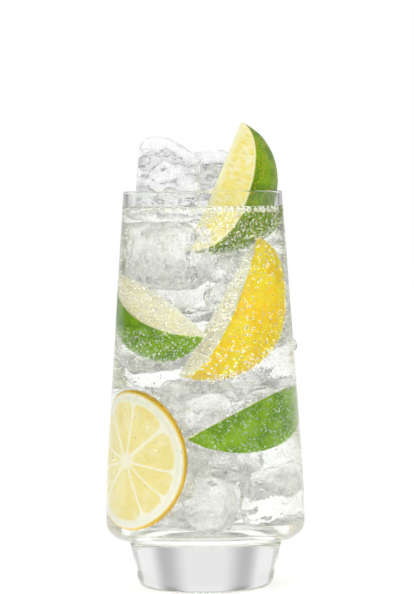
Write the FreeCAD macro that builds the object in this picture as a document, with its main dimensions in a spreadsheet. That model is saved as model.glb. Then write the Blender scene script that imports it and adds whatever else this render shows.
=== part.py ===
"""A tall glass of rum and soda, with a wedge of lime and two blocks of ice standing out of it.

Millimetres. +Z is up, and the origin is on the table, on the axis of the glass. -Y is the front.
The glass is turned: a solid foot, a rounded heel, and a wall that narrows to the rim. The drink fills
it to its level, and is cut round the wedge and the two blocks, which stand half out of it.
"""

import FreeCAD, Part
import math
import os

import Sketcher

# Driving dimensions, in millimetres, or in degrees where the name ends in "angle".
SIZES = {
    # the glass
    "glass_height": 158.0,
    "rim_radius": 31.7,
    "rim_wall": 1.7,
    "rim_round": 0.7,
    "belly_radius": 39.9,
    "belly_wall": 2.5,
    "belly_upright": 3.0,
    "wall_curve": 330.0,
    "heel_round": 6.5,
    "foot_height": 19.3,
    "foot_top_radius": 30.9,
    "foot_base_radius": 26.6,
    "foot_round": 3.2,
    "foot_join_round": 1.0,
    "punt_radius": 19.0,
    "punt_depth": 1.0,
    "floor_height": 23.2,
    "floor_round": 6.0,
    # the drink
    "drink_below_rim": 7.0,
    # the wedge of lime: a part of a whole fruit, cut along the core, pushed out towards the wall
    "lime_radius": 24.8,
    "lime_longer_by": 6.0,
    "lime_end_curve": 18.0,
    "lime_wedge_angle": 64.0,
    "lime_turn_angle": -24.0,
    "lime_lean_angle": 22.6,
    "lime_shift_aside": 0.15,
    "lime_shift_behind": 1.215,
    "lime_above_rim": 1.8,
    # the two blocks of ice, which fill what the wedge leaves of the mouth
    "ice_round": 5.5,
    "ice_left_wall_gap": 3.6,
    "ice_left_lime_gap": 5.1,
    "ice_left_depth": 21.0,
    "ice_left_height": 35.0,
    "ice_left_top_width": 12.2,
    "ice_left_shoulder_down": 7.5,
    "ice_left_lean_angle": 3.6,
    "ice_left_behind": -1.6,
    "ice_left_above_rim": 4.4,
    "ice_back_side_gaps": 7.0,
    "ice_back_wall_gap": 3.8,
    "ice_back_ice_gap": 1.3,
    "ice_back_height": 34.0,
    "ice_back_top_width": 17.0,
    "ice_back_shoulder_down": 6.0,
    "ice_back_lean_angle": -5.0,
    "ice_back_aside": 5.5,
    "ice_back_above_rim": 0.0,
}

ORIGIN = -1  # a sketch's own geometry: the origin is point 1 of this
ORIGIN_Y_AXIS = -2
START, END, CENTRE = 1, 2, 3
NEAR = 0.01  # two lengths this close are the same
ROUND_AT_MOST = 0.45  # the share of a block's depth that its edges are rounded by, at most


class Length:
    """A length known both as a number and as an expression on the sheet's cells."""

    def __init__(self, number, text):
        self.number = number
        self.text = text

    def __add__(self, other):
        return Length(self.number + other.number, "(%s + %s)" % (self.text, other.text))

    def __sub__(self, other):
        return Length(self.number - other.number, "(%s - %s)" % (self.text, other.text))

    def __mul__(self, factor):
        return Length(self.number * factor, "(%s * %r)" % (self.text, factor))


def size(name):
    return Length(SIZES[name], "Sizes." + name)


def turned_part(length, angle, part):
    """How far a length reaches across (math.cos) or back (math.sin) once it is turned by an angle."""
    number = length.number * part(math.radians(angle.number))
    return Length(number, "(%s * %s(%s * 1 deg))" % (length.text, part.__name__, angle.text))


def smaller(first, second):
    return Length(min(first.number, second.number), "min(%s; %s)" % (first.text, second.text))


ZERO = Length(0.0, "0")


# ---------------------------------------------------------------- the document


def make_sheet(doc):
    sheet = doc.addObject("Spreadsheet::Sheet", "Sizes")
    for row, (name, value) in enumerate(SIZES.items(), start=1):
        sheet.set("A%d" % row, name)
        sheet.set("B%d" % row, repr(value))
        sheet.setAlias("B%d" % row, name)
    doc.recompute()


def new_body(doc, name):
    body = doc.addObject("PartDesign::Body", name)
    body.Label = name
    return body


def new_sketch(body, name):
    """A sketch in the upright plane through the axis: its x is the radius, its y the height."""
    sketch = body.newObject("Sketcher::SketchObject", name)
    plane = next(f for f in body.Origin.OriginFeatures if f.Role == "XZ_Plane")
    sketch.AttachmentSupport = (plane, [""])
    sketch.MapMode = "FlatFace"
    return sketch


def place(obj, aside, behind, height, lean):
    """Stands a piece at its place, leaning to the right by an angle, all tied to the sheet."""
    obj.Placement.Rotation = FreeCAD.Rotation(FreeCAD.Vector(0, 1, 0), lean.number)
    obj.setExpression("Placement.Base.x", aside.text)
    obj.setExpression("Placement.Base.y", behind.text)
    obj.setExpression("Placement.Base.z", height.text)
    obj.setExpression("Placement.Rotation.Angle", lean.text)


# ---------------------------------------------------------------- outlines


def hold(sketch, kind, *args):
    """Adds a constraint whose last argument is a length, and ties it to the sheet."""
    length = args[-1]
    index = sketch.addConstraint(Sketcher.Constraint(kind, *args[:-1], length.number))
    sketch.setExpression("Constraints[%d]" % index, length.text)


def hold_point(sketch, piece, end, across, up):
    """Holds an end of a piece at a distance across and up from the sketch's origin."""
    for kind, length, axis in (("DistanceX", across, ORIGIN_Y_AXIS), ("DistanceY", up, ORIGIN)):
        if length is ZERO:
            sketch.addConstraint(Sketcher.Constraint("PointOnObject", piece, end, axis))
        else:
            hold(sketch, kind, ORIGIN, START, piece, end, length)


def add_line(sketch, start, end):
    """A straight piece between two points, each a pair of lengths."""
    corners = [FreeCAD.Vector(across.number, up.number, 0) for across, up in (start, end)]
    return sketch.addGeometry(Part.LineSegment(*corners), False)


def join(sketch, first, second, kind="Coincident"):
    """Joins the end of one piece to the start of the next."""
    sketch.addConstraint(Sketcher.Constraint(kind, first, END, second, START))


def add_path(sketch, points, hold_last=False):
    """Straight pieces joined from point to point. All the points are held, the last if asked."""
    pieces = [add_line(sketch, *pair) for pair in zip(points, points[1:])]
    for piece, corner in zip(pieces, points):
        hold_point(sketch, piece, START, *corner)
    for first, second in zip(pieces, pieces[1:]):
        join(sketch, first, second)
    if hold_last:
        hold_point(sketch, pieces[-1], END, *points[-1])
    return pieces


def add_turned_side(sketch, floor, belly, rim, top):
    """The outline of a turned side, closed along the axis.

    From the floor it goes straight out to the belly's radius, up a short way, then along a long
    curve that is upright where it starts, and on in a straight taper to the rim's radius at the top.
    """
    upright_end = size("foot_height") + size("heel_round") + size("belly_upright")
    curve = size("wall_curve")
    low = add_path(sketch, [(ZERO, floor), (belly, floor), (belly, upright_end)], hold_last=True)
    high = add_path(sketch, [(rim, top), (ZERO, top), (ZERO, floor)])
    rise = top.number - upright_end.number
    inset = curve.number - (belly.number - rim.number)
    reach = math.hypot(inset, rise)
    slope = math.atan2(rise, inset) - math.acos(curve.number / reach)
    centre = FreeCAD.Vector(belly.number - curve.number, upright_end.number, 0)
    circle = Part.Circle(centre, FreeCAD.Vector(0, 0, 1), curve.number)
    bend = sketch.addGeometry(Part.ArcOfCircle(circle, 0, slope), False)
    start = sketch.Geometry[bend].EndPoint
    taper = Part.LineSegment(start, FreeCAD.Vector(rim.number, top.number, 0))
    taper = sketch.addGeometry(taper, False)
    join(sketch, low[-1], bend, "Tangent")
    hold(sketch, "Radius", bend, curve)
    join(sketch, bend, taper, "Tangent")
    join(sketch, taper, high[0])
    join(sketch, high[-1], low[0])


def turn(body, sketch, kind, name, angle=None):
    """Turns a sketch about its upright axis: all the way round, or half an angle to either side."""
    turned = body.newObject("PartDesign::" + kind, name)
    turned.Profile = sketch
    turned.ReferenceAxis = (sketch, ["V_Axis"])
    turned.Angle = 360.0
    if angle is not None:
        turned.Midplane = True
        turned.setExpression("Angle", angle.text)
    body.Document.recompute()
    return turned


def ring_edges(shape, radius, height):
    """The names of the level round edges of this radius at this height."""
    names = []
    for number, edge in enumerate(shape.Edges, start=1):
        if edge.Degenerated or not isinstance(edge.Curve, Part.Circle):
            continue
        off = abs(edge.Curve.Radius - radius.number) + abs(edge.Curve.Center.z - height.number)
        if off < NEAR:
            names.append("Edge%d" % number)
    return names


def round_off(body, name, edges, radius):
    sharp = body.Tip
    fillet = body.newObject("PartDesign::Fillet", name)
    fillet.Base = (sharp, edges)
    fillet.setExpression("Radius", radius.text)
    body.Document.recompute()


# ---------------------------------------------------------------- the glass and the drink


def draw_inside(sketch):
    belly = size("belly_radius") - size("belly_wall")
    rim = size("rim_radius") - size("rim_wall")
    add_turned_side(sketch, size("floor_height"), belly, rim, size("glass_height"))


def make_glass(doc):
    body = new_body(doc, "glass")
    height, foot = size("glass_height"), size("foot_height")
    belly, rim = size("belly_radius"), size("rim_radius")
    base, foot_top = size("foot_base_radius"), size("foot_top_radius")
    inner_belly = belly - size("belly_wall")

    outside = new_sketch(body, "glass_outside")
    add_turned_side(outside, foot, belly, rim, height)
    turn(body, outside, "Revolution", "glass_bowl")

    foot_sketch = new_sketch(body, "glass_foot_outline")
    corners = [(ZERO, ZERO), (base, ZERO), (foot_top, foot), (ZERO, foot), (ZERO, ZERO)]
    pieces = add_path(foot_sketch, corners)
    join(foot_sketch, pieces[-1], pieces[0])
    turn(body, foot_sketch, "Revolution", "glass_foot")

    inside = new_sketch(body, "glass_inside")
    draw_inside(inside)
    turn(body, inside, "Groove", "glass_hollow")

    punt_sketch = new_sketch(body, "glass_punt_outline")
    draw_punt(punt_sketch)
    turn(body, punt_sketch, "Groove", "glass_punt")

    rounds = [
        ("heel", belly, foot, size("heel_round")),
        ("foot_edge", base, ZERO, size("foot_round")),
        ("foot_join", foot_top, foot, size("foot_join_round")),
        ("floor_corner", inner_belly, size("floor_height"), size("floor_round")),
        ("rim_outside", rim, height, size("rim_round")),
        ("rim_inside", rim - size("rim_wall"), height, size("rim_round")),
    ]
    for name, radius, level, rounding in rounds:
        edges = ring_edges(body.Shape, radius, level)
        round_off(body, "glass_" + name, edges, rounding)
    return body


def draw_punt(sketch):
    """A shallow dome under the foot, whose curve is centred on the axis."""
    radius, depth = size("punt_radius"), size("punt_depth")
    dome = (radius.number**2 + depth.number**2) / (2 * depth.number)
    circle = Part.Circle(
        FreeCAD.Vector(0, depth.number - dome, 0), FreeCAD.Vector(0, 0, 1), dome
    )
    half_angle = math.asin(radius.number / dome)
    arc = Part.ArcOfCircle(circle, math.pi / 2 - half_angle, math.pi / 2)
    curve = sketch.addGeometry(arc, False)
    hold_point(sketch, curve, START, radius, ZERO)
    hold_point(sketch, curve, END, ZERO, depth)
    sketch.addConstraint(Sketcher.Constraint("PointOnObject", curve, CENTRE, ORIGIN_Y_AXIS))
    down = add_line(sketch, (ZERO, depth), (ZERO, ZERO))
    out = add_line(sketch, (ZERO, ZERO), (radius, ZERO))
    hold_point(sketch, down, END, ZERO, ZERO)
    join(sketch, curve, down)
    join(sketch, down, out)
    join(sketch, out, curve)


def make_drink(doc, solids_in_it):
    """The drink is the glass's hollow up to its level, less whatever stands in it."""
    hollow = new_body(doc, "hollow")
    outline = new_sketch(hollow, "hollow_outline")
    draw_inside(outline)
    turn(hollow, outline, "Revolution", "hollow_turned")
    inner_belly = size("belly_radius") - size("belly_wall")
    floor_edge = ring_edges(hollow.Shape, inner_belly, size("floor_height"))
    round_off(hollow, "hollow_floor_corner", floor_edge, size("floor_round"))

    below_level = doc.addObject("Part::Cylinder", "below_level")
    below_level.setExpression("Radius", size("belly_radius").text)
    level = size("glass_height") - size("drink_below_rim")
    below_level.setExpression("Height", level.text)

    filled = doc.addObject("Part::Common", "filled")
    filled.Base = hollow
    filled.Tool = below_level
    in_it = doc.addObject("Part::MultiFuse", "what_stands_in_it")
    in_it.Shapes = solids_in_it
    drink = doc.addObject("Part::Cut", "drink")
    drink.Label = "drink"
    drink.Base = filled
    drink.Tool = in_it
    doc.recompute()
    return drink


# ---------------------------------------------------------------- the lime and the ice


def draw_lime(sketch):
    """Half the outline of a lime: a long arc for its side, and a tighter arc at each end."""
    radius, end = size("lime_radius"), size("lime_end_curve")
    half = radius + size("lime_longer_by") * 0.5
    # the side's arc is centred level with the fruit's middle, and touches both end arcs
    rise = half.number - end.number
    side = (radius.number**2 + rise**2 - end.number**2) / (2 * (radius.number - end.number))
    touch = math.atan2(rise, side - radius.number)
    side_centre = FreeCAD.Vector(radius.number - side, 0, 0)
    spans = [
        (FreeCAD.Vector(0, -rise, 0), end.number, -math.pi / 2, -touch),
        (side_centre, side, -touch, touch),
        (FreeCAD.Vector(0, rise, 0), end.number, touch, math.pi / 2),
    ]
    arcs = []
    for centre, arc_radius, start, stop in spans:
        circle = Part.Circle(centre, FreeCAD.Vector(0, 0, 1), arc_radius)
        arcs.append(sketch.addGeometry(Part.ArcOfCircle(circle, start, stop), False))
    low, side_arc, high = arcs
    join(sketch, low, side_arc, "Tangent")
    join(sketch, side_arc, high, "Tangent")
    for arc in (low, high):
        sketch.addConstraint(Sketcher.Constraint("PointOnObject", arc, CENTRE, ORIGIN_Y_AXIS))
        hold(sketch, "Radius", arc, end)
    bulge = sketch.addGeometry(Part.Point(FreeCAD.Vector(radius.number, 0, 0)), True)
    hold_point(sketch, bulge, START, radius, ZERO)
    sketch.addConstraint(Sketcher.Constraint("PointOnObject", bulge, START, side_arc))
    core = add_line(sketch, (ZERO, half), (ZERO, half * -1.0))
    hold_point(sketch, core, START, ZERO, half)
    hold_point(sketch, core, END, ZERO, half * -1.0)
    join(sketch, high, core)
    join(sketch, core, low)


def mouth():
    """The radius of the opening inside the rim."""
    return size("rim_radius") - size("rim_wall")


def lime_place():
    """Where the core of the wedge stands: its skin, which is a lime's radius away, meets the wall."""
    reach, turned = mouth() - size("lime_radius"), size("lime_turn_angle")
    aside = turned_part(reach, turned, math.cos) + size("lime_shift_aside")
    behind = turned_part(reach, turned, math.sin) + size("lime_shift_behind")
    return aside, behind


def make_lime(doc):
    """A wedge of a whole lime: its outline turned about the core through the wedge's angle."""
    body = new_body(doc, "lime_wedge")
    sketch = new_sketch(body, "lime_outline")
    draw_lime(sketch)
    sketch.AttachmentOffset = FreeCAD.Placement(
        FreeCAD.Vector(0, 0, 0), FreeCAD.Rotation(FreeCAD.Vector(0, 1, 0), 1.0)
    )
    sketch.setExpression("AttachmentOffset.Rotation.Angle", size("lime_turn_angle").text)
    turn(body, sketch, "Revolution", "lime_turned", size("lime_wedge_angle"))
    aside, behind = lime_place()
    height = size("glass_height") + size("lime_above_rim")
    place(body, aside, behind, height, size("lime_lean_angle"))
    return body


def make_ice_left(doc):
    """The block that fills the mouth from the wall on the left to the wedge."""
    lime_aside, _ = lime_place()
    start, stop = size("ice_left_wall_gap") - mouth(), lime_aside - size("ice_left_lime_gap")
    middle = ((start + stop) * 0.5, size("ice_left_behind"))
    return make_ice(doc, "ice_left", stop - start, size("ice_left_depth"), middle)


def make_ice_back(doc):
    """The block that fills the mouth from the left block to the wall at the back."""
    left_ends = size("ice_left_behind") + size("ice_left_depth") * 0.5
    start, stop = left_ends + size("ice_back_ice_gap"), mouth() - size("ice_back_wall_gap")
    middle = (size("ice_back_aside"), (start + stop) * 0.5)
    return make_ice(doc, "ice_back", mouth() - size("ice_back_side_gaps"), stop - start, middle)


def make_ice(doc, name, width, depth, middle):
    """A moulded block of ice with a sloping shoulder, melted round at every edge."""
    body = new_body(doc, name)
    block = body.newObject("PartDesign::AdditiveBox", name + "_block")
    height = size(name + "_height")
    for side, length in (("Length", width), ("Width", depth), ("Height", height)):
        block.setExpression(side, length.text)
    for axis, length in zip("xyz", (width, depth, height)):
        block.setExpression("Placement.Base." + axis, (length * -0.5).text)
    doc.recompute()

    shoulder = body.newObject("PartDesign::Chamfer", name + "_shoulder")
    shoulder.Base = (block, [top_right_edge(block.Shape)])
    shoulder.ChamferType = "Two distances"
    shoulder.setExpression("Size", size(name + "_shoulder_down").text)
    shoulder.setExpression("Size2", (width - size(name + "_top_width")).text)
    doc.recompute()
    edges = ["Edge%d" % number for number in range(1, len(shoulder.Shape.Edges) + 1)]
    round_off(body, name + "_rounded", edges, smaller(size("ice_round"), depth * ROUND_AT_MOST))
    level = size("glass_height") + size(name + "_above_rim")
    place(body, *middle, level, size(name + "_lean_angle"))
    return body


def top_right_edge(shape):
    """The name of the box's edge, running front to back, that is highest and furthest right."""

    def height_and_side(numbered):
        middle = numbered[1].CenterOfMass
        runs_back = abs(middle.y - shape.BoundBox.Center.y) < NEAR
        return middle.x + middle.z if runs_back else -math.inf

    number, _ = max(enumerate(shape.Edges, start=1), key=height_and_side)
    return "Edge%d" % number


# ---------------------------------------------------------------- the whole


def check(doc, pieces):
    for obj in doc.Objects:
        if "Invalid" in obj.State or "Error" in obj.State:
            raise RuntimeError("%s failed: %s" % (obj.Name, obj.State))
    for piece in pieces:
        shape = piece.Shape
        if shape.isNull() or not shape.isValid() or len(shape.Solids) != 1:
            raise RuntimeError("%s is not one valid solid" % piece.Label)


def main():
    doc = FreeCAD.newDocument("rum_and_soda")
    make_sheet(doc)
    glass = make_glass(doc)
    lime = make_lime(doc)
    ice_left = make_ice_left(doc)
    ice_back = make_ice_back(doc)
    drink = make_drink(doc, [lime, ice_left, ice_back])
    doc.recompute()
    pieces = [glass, drink, lime, ice_left, ice_back]
    check(doc, pieces)
    os.makedirs("parts", exist_ok=True)
    for piece in pieces:
        piece.Shape.exportStep("parts/%s.step" % piece.Label)
        box = piece.Shape.BoundBox
        spans = [box.XMin, box.XMax, box.YMin, box.YMax, box.ZMin, box.ZMax]
        print(
            "%-12s %8.1f mm3" % (piece.Label, piece.Shape.Volume),
            "  x %6.2f %6.2f  y %6.2f %6.2f  z %6.2f %6.2f" % tuple(spans),
        )


main()
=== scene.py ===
# %% [markdown]
# # A glass of rum and soda
#
# This lesson dresses a tall iced drink: a turned glass with a heavy foot, clear liquid, blocks of ice,
# wedges of lime and lemon, a slice of lemon and the bubbles that cling to them. The solid model gives the
# glass, the drink up to its level, the wedge that stands out of it and the two blocks of ice beside it.
# Everything under the surface is modelled here. We first load that model, so that the boxes of its parts
# can be read. Nothing made here may grow out of it.

import math
import random

import bmesh
import bpy
import numpy as np
from mathutils import Matrix, Vector, noise
from mathutils.kdtree import KDTree


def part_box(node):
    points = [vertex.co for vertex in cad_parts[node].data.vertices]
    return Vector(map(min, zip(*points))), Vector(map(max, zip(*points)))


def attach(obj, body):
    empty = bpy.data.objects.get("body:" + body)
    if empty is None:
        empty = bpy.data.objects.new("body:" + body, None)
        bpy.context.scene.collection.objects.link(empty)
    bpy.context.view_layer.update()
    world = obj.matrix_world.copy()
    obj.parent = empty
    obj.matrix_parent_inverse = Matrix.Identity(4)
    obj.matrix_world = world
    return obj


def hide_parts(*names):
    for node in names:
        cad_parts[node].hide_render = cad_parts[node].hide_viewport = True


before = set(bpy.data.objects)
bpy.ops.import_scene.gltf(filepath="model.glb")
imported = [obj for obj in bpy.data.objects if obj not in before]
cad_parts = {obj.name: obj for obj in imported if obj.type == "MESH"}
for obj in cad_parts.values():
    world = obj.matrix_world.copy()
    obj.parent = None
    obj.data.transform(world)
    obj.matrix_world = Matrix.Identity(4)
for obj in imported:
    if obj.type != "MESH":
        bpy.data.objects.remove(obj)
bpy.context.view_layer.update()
MM = 0.001
print("nodes:", sorted(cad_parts))

# %% [markdown]
# ## The camera
#
# The drink is looked at almost level, from just at the height of its rim, so that the rim shows as a line
# and the round foot as an ellipse. A long lens from over a metre away keeps the sides of the glass
# straight. The camera is rolled by half a degree, as a hand-levelled one is.

# %% Set up the camera
CAMERA_AWAY = 1140 * MM
CAMERA_HEIGHT = 158 * MM
CAMERA_ASIDE = 1.4 * MM
AIM_HEIGHT = 115.6 * MM
VIEW_HEIGHT = 237.6 * MM
CAMERA_ROLL = math.radians(0.5)


def make_camera():
    lens = bpy.data.cameras.new("camera")
    camera = bpy.data.objects.new("camera", lens)
    bpy.context.scene.collection.objects.link(camera)
    eye = Vector((CAMERA_ASIDE, -CAMERA_AWAY, CAMERA_HEIGHT))
    aim = Vector((CAMERA_ASIDE, 0, AIM_HEIGHT))
    look = (aim - eye).to_track_quat("-Z", "Y").to_matrix().to_4x4()
    camera.matrix_world = Matrix.Translation(eye) @ look @ Matrix.Rotation(-CAMERA_ROLL, 4, "Z")
    lens.angle = 2 * math.atan(VIEW_HEIGHT / 2 / (aim - eye).length)
    lens.clip_start = 0.01
    bpy.context.scene.camera = camera
    return camera


camera = make_camera()
print("field of view: %.2f degrees" % math.degrees(camera.data.angle))

# %% [markdown]
# ## A way to write materials
#
# A finish is a small network of nodes. Writing out every node and link is long, so this helper adds a
# node, fills its sockets from numbers or from other nodes, and hands back the socket that comes out.
# Blender's own names for nodes and sockets stay visible, which makes it easy to follow in the editor.


# %% A helper that adds nodes
class Nodes:
    """A tree of nodes that is filled one node at a time."""

    def __init__(self, tree):
        self.tree = tree

    def feed(self, node, socket, value):
        if isinstance(value, bpy.types.NodeSocket):
            self.tree.links.new(value, node.inputs[socket])
        else:
            node.inputs[socket].default_value = value

    def add(self, kind, inputs, out=0, **settings):
        node = self.tree.nodes.new("ShaderNode" + kind)
        for name, value in settings.items():
            setattr(node, name, value)
        for socket, value in inputs.items():
            self.feed(node, socket, value)
        return node.outputs[out]

    def split(self, vector):
        """The three parts of a vector, each as a socket of its own."""
        node = self.tree.nodes.new("ShaderNodeSeparateXYZ")
        self.feed(node, 0, vector)
        return node.outputs

    def math(self, operation, *values):
        return self.add("Math", dict(enumerate(values)), operation=operation)

    def noise(self, where, scale, detail, roughness=0.5):
        inputs = {"Vector": where, "Scale": scale, "Detail": detail, "Roughness": roughness}
        return self.add("TexNoise", inputs)

    def spread(self, value, low, high, to_low=0.0, to_high=1.0, **settings):
        inputs = {"Value": value, 1: low, 2: high, 3: to_low, 4: to_high}
        return self.add("MapRange", inputs, **settings)

    def mix(self, share, first, second):
        return self.add("Mix", {0: share, 6: first, 7: second}, out=2, data_type="RGBA")

    def blend(self, share, first, second):
        return self.add("Mix", {0: share, 2: first, 3: second}, data_type="FLOAT")

    def bump(self, height, depth, strength):
        inputs = {"Height": height, "Distance": depth, "Strength": strength}
        return self.add("Bump", inputs)


class Finish(Nodes):
    """A material whose nodes end in one Principled shader."""

    def __init__(self, name, **sockets):
        self.material = bpy.data.materials.new(name)
        self.material.use_nodes = True
        super().__init__(self.material.node_tree)
        self.shader = self.tree.nodes["Principled BSDF"]
        for socket, value in sockets.items():
            self.set(socket.replace("_", " "), value)

    def set(self, socket, value):
        """Fills a socket of the Principled shader itself."""
        self.feed(self.shader, socket, value)


# %% [markdown]
# ## The studio
#
# Clear things show only what is around them, so the studio decides how glass and ice look. A plain white
# room makes them vanish. Photographers put a white backdrop behind the glass and grey cards beside it,
# whose bent images draw the edges. Here the world does both. The camera sees plain white. Light that
# has met a surface sees a painted room: near white, with soft grey cards, and a dark line low down where
# a table would end. The cards repeat all round the compass, so the drink reads alike from every side.

# %% Paint the world
CARDS_ROUND = 8
CARD_GREY = 0.40
CARD_HALF_WIDTH = 0.17
CARD_EDGE = (CARD_HALF_WIDTH * 0.1, CARD_HALF_WIDTH * 1.9)
BACKDROP_GREY = 0.86
BACKDROP_RISE = (0.0, 0.06)
CEILING_GREY = 0.80
CEILING_RISE = (0.30, 0.50)
SOFT_BOX_RISE = (0.72, 0.84)
NEAR_FLOOR_GREY = 0.84
NEAR_FLOOR_EVEN = 0.62
NEAR_FLOOR_RISE = (0.05, 0.22)
TABLE_EDGE = 0.03
TABLE_EDGE_HALF = 0.02
TABLE_EDGE_GREY = 0.28
ROOM_FRONT = 1.35
FRONT_TO_BACK = (-0.8, 0.1)


def paint_cards(sky, aside, ahead, upward):
    """Soft grey cards all round, which fade near the floor and end under a greyer ceiling."""
    turns = sky.math("MULTIPLY", sky.math("ARCTAN2", aside, ahead), CARDS_ROUND / math.tau)
    off = sky.math("SUBTRACT", sky.math("WRAP", turns, 1.0, 0.0), 0.5)
    off = sky.math("ABSOLUTE", off)
    cards = sky.spread(off, *CARD_EDGE, CARD_GREY, 1.0, interpolation_type="SMOOTHSTEP")
    near_floor = sky.spread(upward, *NEAR_FLOOR_RISE, NEAR_FLOOR_EVEN, 0.0)
    cards = sky.blend(near_floor, cards, NEAR_FLOOR_GREY)
    low = sky.spread(upward, *BACKDROP_RISE, 1.0, BACKDROP_GREY)
    high = sky.spread(upward, *CEILING_RISE, 1.0, CEILING_GREY)
    return sky.math("MULTIPLY", cards, sky.math("MULTIPLY", low, high))


def paint_world():
    world = bpy.data.worlds.new("studio")
    bpy.context.scene.world = world
    world.use_nodes = True
    sky = Nodes(world.node_tree)
    sky.tree.nodes.clear()
    aside, ahead, upward = sky.split(sky.add("TexCoord", {}, out="Generated"))
    room = paint_cards(sky, aside, ahead, upward)
    # a dark line runs round the room where the table ends
    from_edge = sky.math("ABSOLUTE", sky.math("SUBTRACT", upward, TABLE_EDGE))
    edge = sky.spread(from_edge, TABLE_EDGE_HALF * 0.6, TABLE_EDGE_HALF, TABLE_EDGE_GREY, 1.0)
    room = sky.math("MULTIPLY", room, edge)
    # a large soft box hangs overhead, and the front of the room is brighter than its back
    room = sky.math("MAXIMUM", room, sky.spread(upward, *SOFT_BOX_RISE))
    room = sky.math("MULTIPLY", room, sky.spread(ahead, *FRONT_TO_BACK, ROOM_FRONT, 1.0))
    level = sky.blend(sky.add("LightPath", {}, out="Is Camera Ray"), room, 1.0)
    output = sky.tree.nodes.new("ShaderNodeOutputWorld")
    sky.feed(output, "Surface", sky.add("Background", {"Color": level}))


paint_world()
print("world painted with", CARDS_ROUND, "cards")

# %% [markdown]
# The floor is a wide white sheet. Part of its white is its own, so that it meets the white room without a
# line, and the rest is lit, so that the shadow of the glass still shows.

# %% Lay the floor
FLOOR_HALF = 3.0
FLOOR_GREY = (0.74, 0.74, 0.74, 1)
FLOOR_OWN_WHITE = 0.45


def lay_floor():
    finish = Finish("white_floor", Roughness=0.6)
    finish.set("Base Color", FLOOR_GREY)
    finish.set("Specular IOR Level", 0.0)
    finish.set("Emission Color", (1, 1, 1, 1))
    finish.set("Emission Strength", FLOOR_OWN_WHITE)
    mesh = bpy.data.meshes.new("floor")
    side = FLOOR_HALF
    corners = [(-side, -side, 0), (side, -side, 0), (side, side, 0), (-side, side, 0)]
    mesh.from_pydata(corners, [], [(0, 1, 2, 3)])
    mesh.materials.append(finish.material)
    floor = bpy.data.objects.new("floor", mesh)
    bpy.context.scene.collection.objects.link(floor)


lay_floor()
print("floor %.0f m wide" % (2 * FLOOR_HALF))

# %% [markdown]
# The world alone would light the fruit evenly and leave it flat. Two large soft lamps in front, a
# stronger one at the left and a weaker one at the right, give it a bright side and a shadow. Glossy
# things don't show them, because their hard white images on the glass would compete with its edges.

# %% Hang two soft lamps
LAMP_AIM = 90 * MM


def hang_lamp(name, place, size, watts):
    light = bpy.data.lights.new(name, "AREA")
    light.shape = "RECTANGLE"
    light.size, light.size_y = size
    light.energy = watts
    lamp = bpy.data.objects.new(name, light)
    bpy.context.scene.collection.objects.link(lamp)
    place = Vector(place)
    aim = Vector((0, 0, LAMP_AIM)) - place
    lamp.visible_glossy = False
    lamp.matrix_world = Matrix.Translation(place) @ aim.to_track_quat("-Z", "Y").to_matrix().to_4x4()
    print("%s lamp, %.1f W" % (name, watts))


hang_lamp("key", (-0.6, -0.8, 0.7), (0.7, 0.8), 2.6)
hang_lamp("fill", (0.85, -0.5, 0.4), (0.4, 0.8), 1.4)

# %% [markdown]
# ## The glass
#
# A glass like this is pressed and turned, so one outline says everything. We write the outline as a few
# corners, each with the radius of the curve that rounds it, and turn it round the axis. The solid model
# has the same shape in flat facets. Clear glass would show every facet, which is why a much finer turning
# replaces it here.

# %% The sizes of the glass
GLASS_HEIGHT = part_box("glass")[1][2] / MM
RIM_RADIUS = 31.7
RIM_WALL = 1.7
RIM_ROUND = 0.8
BELLY_RADIUS = 39.9
BELLY_WALL = 2.5
UPRIGHT_END = 28.8
WALL_CURVE = 330.0
HEEL_ROUND = 6.5
FOOT_HEIGHT = 19.3
FOOT_TOP_RADIUS = 30.9
FOOT_BASE_RADIUS = 26.6
FOOT_ROUND = 3.2
FOOT_JOIN_ROUND = 1.0
PUNT_RADIUS = 19.0
PUNT_DEPTH = 1.0
FLOOR_HEIGHT = 23.2
FLOOR_ROUND = 5.4
DRINK_BELOW_RIM = 7.0
DRINK_LEVEL = GLASS_HEIGHT - DRINK_BELOW_RIM
print("glass %.1f mm tall, drink up to %.1f mm" % (GLASS_HEIGHT, DRINK_LEVEL))

# %% [markdown]
# A corner is rounded as a mason rounds it: both straight runs stop short of it, and an arc that touches
# them joins them. The wall too is such a corner, between the upright belly and the straight taper, with
# a very large radius. A curve could be drawn in Blender and converted, but then its points fall where
# Blender likes, and the drink's outline has to follow the very same wall.

# %% Round the corners of an outline
DEGREES_A_STEP = 5
CURVE_A_STEP = 4
LONG_STRETCH = 2.0
NEXT_TO_CURVE = 0.25


def wall_corner(belly, rim):
    """The height at which the upright belly and the straight taper would meet, unrounded."""
    rise = GLASS_HEIGHT - UPRIGHT_END
    inset = WALL_CURVE - (belly - rim)
    slope = math.atan2(rise, inset) - math.acos(WALL_CURVE / math.hypot(rise, inset))
    return UPRIGHT_END + WALL_CURVE * math.tan(slope / 2)


def round_corners(corners):
    """Turns corners (radius, height, rounding) into the points of a smooth outline."""
    points = []
    for i, (x, z, rounding) in enumerate(corners):
        here = Vector((x, z))
        if rounding == 0:
            points.append(here)
            continue
        before = (Vector(corners[i - 1][:2]) - here).normalized()
        after = (Vector(corners[i + 1][:2]) - here).normalized()
        half = before.angle(after) / 2
        reach = rounding / math.tan(half)
        centre = here + (before + after).normalized() * rounding / math.sin(half)
        start = here + before * reach - centre
        turn = math.pi - 2 * half
        side = 1 if start.cross(here + after * reach - centre) > 0 else -1
        steps = max(3, round(turn / math.radians(DEGREES_A_STEP)), round(rounding * turn / CURVE_A_STEP))
        for step in range(steps + 1):
            angle = side * turn * step / steps
            c, s = math.cos(angle), math.sin(angle)
            points.append(centre + Vector((start.x * c - start.y * s, start.x * s + start.y * c)))
    return points


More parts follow.
